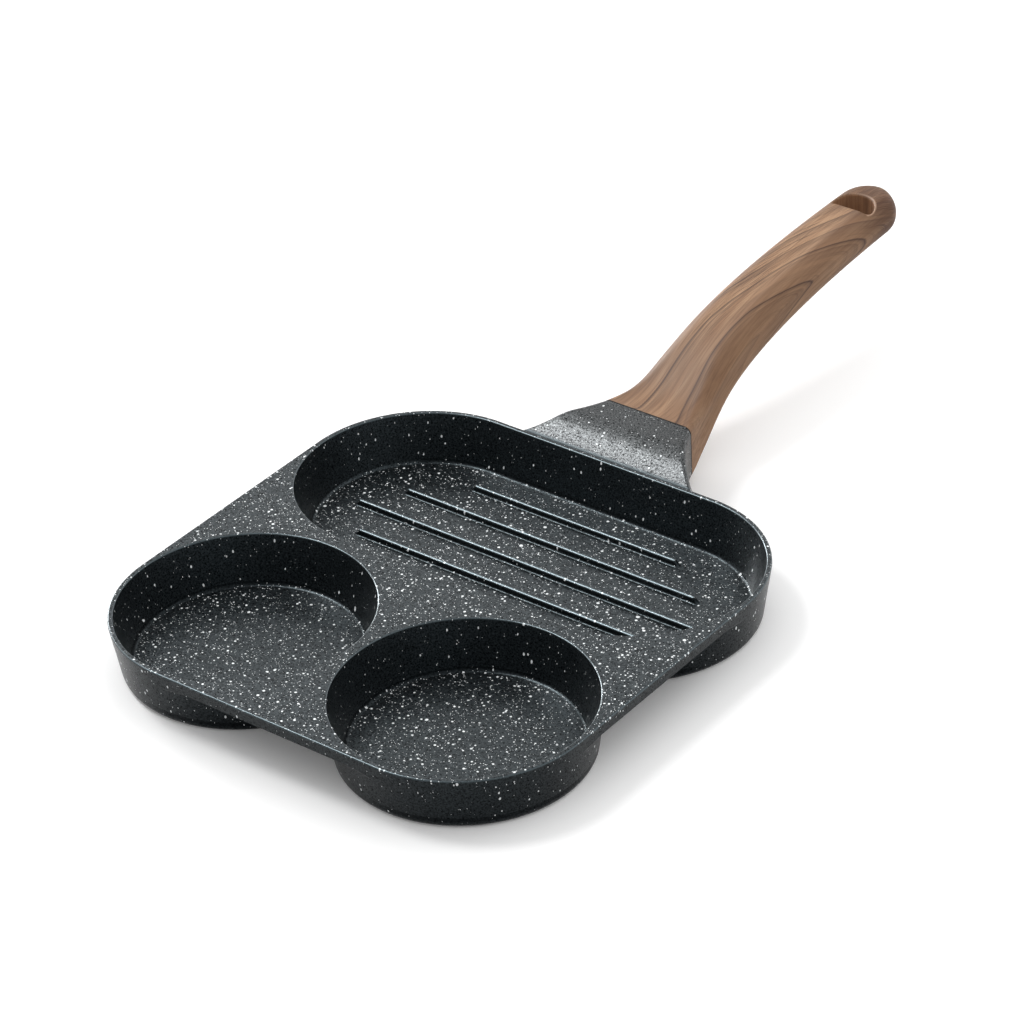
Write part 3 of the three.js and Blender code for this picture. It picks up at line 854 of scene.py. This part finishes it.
def plain_wood(shader, grain, contour, streaks):
    """Broad light and dark wood with fibres and thin bands, with painted shade on the right flank and near
    the joint.
    """
    across = shader.component(grain, "X")
    along = shader.component(grain, "Y")
    broad = shader.grained(grain, BROAD_NOISE)
    bands = shader.grained(contour, BAND_NOISE)
    wood = shader.mix(shader.spread(broad, *BROAD_SPAN), WOOD_DARK, WOOD_LIGHT)
    fibrous = shader.mix(shader.spread(streaks, *FIBRE_SPAN, 0.0, FIBRE_SHARE), wood, FIBRE_COLOUR)
    banded = shader.mix(shader.spread(bands, *BAND_SPAN, 0.0, BAND_SHARE), fibrous, BAND_COLOUR)
    # Painted shade on the right flank and near the joint
    flank = shader.span(across, FLANK_ACROSS, FLANK_SHADE_SHARES, True)
    front = shader.span(along, FRONT_ALONG, FRONT_SHADE_SHARES, True)
    return shader.mix(shader.largest(flank, front), banded, PAINTED_SHADE_COLOUR)


def hair_lines(shader, grain, contour, tail):
    """Share of the thin dark lines that follow the rings, most on the left side and at the tail."""
    across = shader.component(grain, "X")
    along = shader.component(grain, "Y")
    hair = shader.grained(contour, HAIR_NOISE)
    off_line = shader.math("ABSOLUTE", shader.math("SUBTRACT", hair, 0.5))
    left_share = shader.span(across, HAIR_ACROSS, HAIR_SHARES, True)
    middle_share = shader.product(left_share, shader.span(along, HAIR_GROWTH_ALONG, HAIR_GROWTH))
    tail_share = shader.product(tail, shader.span(along, TIP_ALONG, TIP_HAIR_SHARES))
    return shader.product(shader.spread(off_line, *HAIR_SPAN), shader.largest(middle_share, tail_share))


def with_hole(shader, wood, grain):
    """The wood with the streaked wall of the hang hole, lighter than the tail around it and lightest on its
    right side as painted light, and a painted highlight on its lip.
    """
    across = shader.component(grain, "X")
    along = shader.component(grain, "Y")
    edge = HANDLE_LENGTH - HOLE_FROM_END
    middle = Vector((0, edge + HOLE_CORNER, 0)) * MM
    level = shader.vector_math("MULTIPLY", 0, grain, (1, 1, 0))
    reach = shader.vector_math("DISTANCE", "Value", level, middle)
    behind = shader.span(along, [edge + limit for limit in HOLE_EDGE_LIMITS])
    by_wall = shader.span(reach, [HOLE_RADIUS + limit for limit in HOLE_WALL_LIMITS], (0.0, HOLE_WALL_SHARE))
    inside = shader.product(by_wall, behind)
    streaks = shader.spread(shader.grained(grain, HOLE_NOISE), *HOLE_STREAK_SPAN)
    # Painted light: the hole's wall grows lighter towards its right side; the streaks are grain
    lit = shader.math("ADD", streaks, shader.span(across, HOLE_LIT_ACROSS, HOLE_LIT_SHARES))
    walled = shader.mix(inside, wood, shader.mix(lit, HOLE_DARK, HOLE_LIGHT))
    by_lip = shader.span(reach, [HOLE_RADIUS + limit for limit in LIP_LIMITS], (0.0, 1.0), True)
    # Painted highlight on the lip of the hang hole, mostly on its right side
    lip_highlight = shader.product(by_lip, shader.span(across, LIP_HIGHLIGHT_ACROSS, LIP_HIGHLIGHT_SHARES), behind)
    lip = shader.largest(shader.math("SUBTRACT", lip_highlight, inside), 0.0)
    return shader.mix(lip, walled, LIP_HIGHLIGHT_COLOUR)


def wood_print():
    shader = Shader("wood print")
    surface = shader.surface.inputs
    grain = shader.node("ShaderNodeAttribute", "Vector", {"attribute_name": "grain"})
    rings = shader.node("ShaderNodeAttribute", "Fac", {"attribute_name": "rings"})
    along = shader.component(grain, "Y")
    wave = shader.spread(shader.grained(grain, WAVE_NOISE), *RING_WAVE_SPAN, -RING_WAVE * MM, RING_WAVE * MM)
    wavy = shader.math("ADD", rings, wave)
    contour = shader.node("ShaderNodeCombineXYZ", 0, None, X=wavy, Y=along)
    streaks = shader.grained(grain, STREAK_NOISE)
    tail = shader.span(along, TAIL_ALONG, (0.0, 1.0), True)

    wood = plain_wood(shader, grain, contour, streaks)
    haired = shader.mix(hair_lines(shader, grain, contour, tail), wood, HAIR_COLOUR)
    late = shader.ramp(shader.span(wavy, (RING_LOW, RING_HIGH)), ring_shades())
    ringed = shader.mix(late, haired, RING_COLOUR)
    tail_streaks = shader.spread(shader.grained(grain, TAIL_NOISE), *TAIL_STREAK_SPAN, *TAIL_STREAK_SHARES)
    darkened = shader.mix(shader.product(tail, tail_streaks), ringed, TAIL_COLOUR)
    holed = with_hole(shader, darkened, grain)
    # Painted shade darkens the handle's end at the joint
    shader.plug(surface["Base Color"], shader.mix(shader.span(along, JOINT_ALONG), PAINTED_JOINT_SHADE, holed))

    shader.plug(surface["Roughness"], shader.spread(streaks, *PRINT_SPAN, *PRINT_ROUGHNESS))
    surface["Specular IOR Level"].default_value = PRINT_SPECULAR
    shader.bump(streaks, PRINT_BUMP_STRENGTH, PRINT_BUMP_HEIGHT * MM)
    return shader.material


# Plated steel: its two greys and the cloud that blends them
STEEL_STOPS = ((0.3, (0.42, 0.43, 0.45, 1)), (0.7, (0.6, 0.61, 0.62, 1)))
STEEL_CLOUD_SCALE = 900
STEEL_CLOUD_DETAIL = 3.0
STEEL_SPAN = (0.3, 0.7)
STEEL_ROUGHNESS = (0.28, 0.42)


def plated_steel():
    shader = Shader("plated steel")
    surface = shader.surface.inputs
    cloud = shader.noise(shader.node("ShaderNodeTexCoord", "Object"), STEEL_CLOUD_SCALE, STEEL_CLOUD_DETAIL)
    shader.plug(surface["Base Color"], shader.ramp(cloud, STEEL_STOPS))
    shader.plug(surface["Roughness"], shader.spread(cloud, *STEEL_SPAN, *STEEL_ROUGHNESS))
    surface["Metallic"].default_value = 1.0
    return shader.material


def dress():
    casting = pan_casting()
    smooth(casting)
    casting.data.materials.clear()
    casting.data.materials.append(coating())
    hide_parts("pan_casting")
    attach(casting, "root")

    grip = handle()
    add_grain(grip)
    smooth(grip)
    grip.data.materials.clear()
    grip.data.materials.append(wood_print())
    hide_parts("handle")
    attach(grip, "root")

    steel = plated_steel()
    for name in ("handle_screw", "flat_washer", "spring_washer"):
        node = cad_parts[name]
        node.data.materials.clear()
        node.data.materials.append(steel)


# Floor: grey for the light that it throws on the pan, white with a faint glow where it is seen
FLOOR_REACH = 6.0
FLOOR_GREY = (0.5, 0.5, 0.5, 1)
FLOOR_WHITE = (1, 1, 1, 1)
FLOOR_GLOW = 0.06
FLOOR_ROUGHNESS = 0.9

# Studio: an even fill, brighter from behind, and two soft lamps with wider twins for highlights only
FILL = 1.0
FILL_TILT = Vector((0, 0.55, 0))
KEY_DIRECTION = Vector((-0.53, -0.11, 0.85)).normalized()
KEY_SIZE = 0.5
KEY_WATTS = 10
SIDE_DIRECTION = Vector((-0.93, 0.25, 0.27)).normalized()
SIDE_SIZE = 0.5
SIDE_WATTS = 12
KEY_GLOSS_SIZE = 0.9
KEY_GLOSS_WATTS = 34
SIDE_GLOSS_SIZE = 0.7
SIDE_GLOSS_WATTS = 30
LIGHT_DISTANCE = 1.9
SCENE_MIDDLE = Vector((0, -0.03, 0.02))

# Camera, from a fit to the photograph
CAMERA_PLACE = Vector((0.7889, -1.0314, 0.8426))
CAMERA_FORWARD = Vector((-0.5271, 0.6537, -0.5430))
CAMERA_ROLL = math.radians(-2.97)
CAMERA_FOCAL_PIXELS = 4059.5
IMAGE_PIXELS = 1024
SENSOR_WIDTH = 36
CLIP_START = 0.05


def floor():
    bpy.ops.mesh.primitive_plane_add(size=2 * FLOOR_REACH, location=(0, 0, 0))
    plane = bpy.context.object
    plane.name = "floor"
    shader = Shader("white floor")
    surface = shader.surface.inputs
    path = shader.tree.nodes.new("ShaderNodeLightPath").outputs
    seen = shader.largest(path["Is Camera Ray"], path["Is Glossy Ray"], path["Is Transmission Ray"])
    shader.plug(surface["Base Color"], shader.mix(seen, FLOOR_GREY, FLOOR_WHITE))
    surface["Emission Color"].default_value = FLOOR_WHITE
    shader.plug(surface["Emission Strength"], shader.product(seen, FLOOR_GLOW))
    surface["Roughness"].default_value = FLOOR_ROUGHNESS
    surface["Specular IOR Level"].default_value = 0.0
    plane.data.materials.append(shader.material)


def softbox(name, direction, size, watts):
    lamp = bpy.data.lights.new(name, "AREA")
    lamp.shape = "DISK"
    lamp.size = size
    lamp.energy = watts
    box = bpy.data.objects.new(name, lamp)
    bpy.context.scene.collection.objects.link(box)
    box.location = SCENE_MIDDLE + LIGHT_DISTANCE * direction
    box.rotation_euler = direction.to_track_quat("Z", "Y").to_euler()
    return box


def studio_light():
    world = bpy.data.worlds.new("studio")
    bpy.context.scene.world = world
    world.use_nodes = True
    tree = world.node_tree
    back = tree.nodes["Background"]
    back.inputs["Color"].default_value = (1, 1, 1, 1)
    direction = tree.nodes.new("ShaderNodeTexCoord")
    tilt = tree.nodes.new("ShaderNodeVectorMath")
    tilt.operation = "DOT_PRODUCT"
    tilt.inputs[1].default_value = FILL_TILT
    tree.links.new(direction.outputs["Generated"], tilt.inputs[0])
    level = tree.nodes.new("ShaderNodeMath")
    level.operation = "ADD"
    level.inputs[1].default_value = FILL
    tree.links.new(tilt.outputs["Value"], level.inputs[0])
    tree.links.new(level.outputs[0], back.inputs["Strength"])

    softbox("key", KEY_DIRECTION, KEY_SIZE, KEY_WATTS)
    softbox("side", SIDE_DIRECTION, SIDE_SIZE, SIDE_WATTS)
    for name, direction, size, watts in (("key gloss", KEY_DIRECTION, KEY_GLOSS_SIZE, KEY_GLOSS_WATTS),
                                         ("side gloss", SIDE_DIRECTION, SIDE_GLOSS_SIZE, SIDE_GLOSS_WATTS)):
        softbox(name, direction, size, watts).visible_diffuse = False


def camera():
    data = bpy.data.cameras.new("camera")
    data.sensor_width = SENSOR_WIDTH
    data.lens = CAMERA_FOCAL_PIXELS / IMAGE_PIXELS * SENSOR_WIDTH
    data.clip_start = CLIP_START
    view = bpy.data.objects.new("camera", data)
    bpy.context.scene.collection.objects.link(view)
    forward = CAMERA_FORWARD.normalized()
    level = forward.cross(Vector((0, 0, 1))).normalized()
    upright = level.cross(forward)
    right = math.cos(CAMERA_ROLL) * level + math.sin(CAMERA_ROLL) * upright
    up = math.cos(CAMERA_ROLL) * upright - math.sin(CAMERA_ROLL) * level
    turn = Matrix((right, up, -forward)).transposed()
    view.matrix_world = Matrix.Translation(CAMERA_PLACE) @ turn.to_4x4()
    bpy.context.scene.camera = view


dress()
floor()
studio_light()
camera()
bpy.context.scene.view_settings.view_transform = "Standard"
